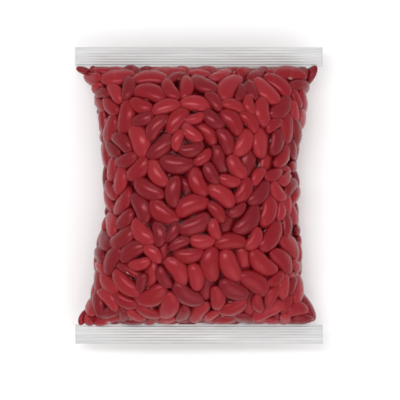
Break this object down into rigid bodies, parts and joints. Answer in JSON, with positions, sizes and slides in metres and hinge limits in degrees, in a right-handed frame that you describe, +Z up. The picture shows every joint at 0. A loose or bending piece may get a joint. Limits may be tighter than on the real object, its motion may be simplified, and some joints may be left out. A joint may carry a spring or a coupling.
{
  "type": "bag of dried kidney beans",
  "caption": "Clear pillow bag packed tight with dried red kidney beans, with a straight silver-grey crimped seal at the top and bottom, lying on its back.",
  "frame": {"origin": "on the table, under the middle of the bag as it lies on its back", "axes": "seen from above, +X to the right and +Y towards the top seal; +Z up out of the bag's front"},
  "size_m": [0.14, 0.168, 0.0519],
  "materials": {
    "beans_under_film": "dark red beans seen through tight clear film",
    "seal_film": "satin silver-grey film with fine crimped ribs",
    "clear_film": "clear film, folded flat"
  },
  "bodies": {
    "root": {"filled_bag": "beans_under_film", "top_seal": "seal_film", "bottom_seal": "seal_film", "back_seam": "clear_film"}
  },
  "joints": []
}
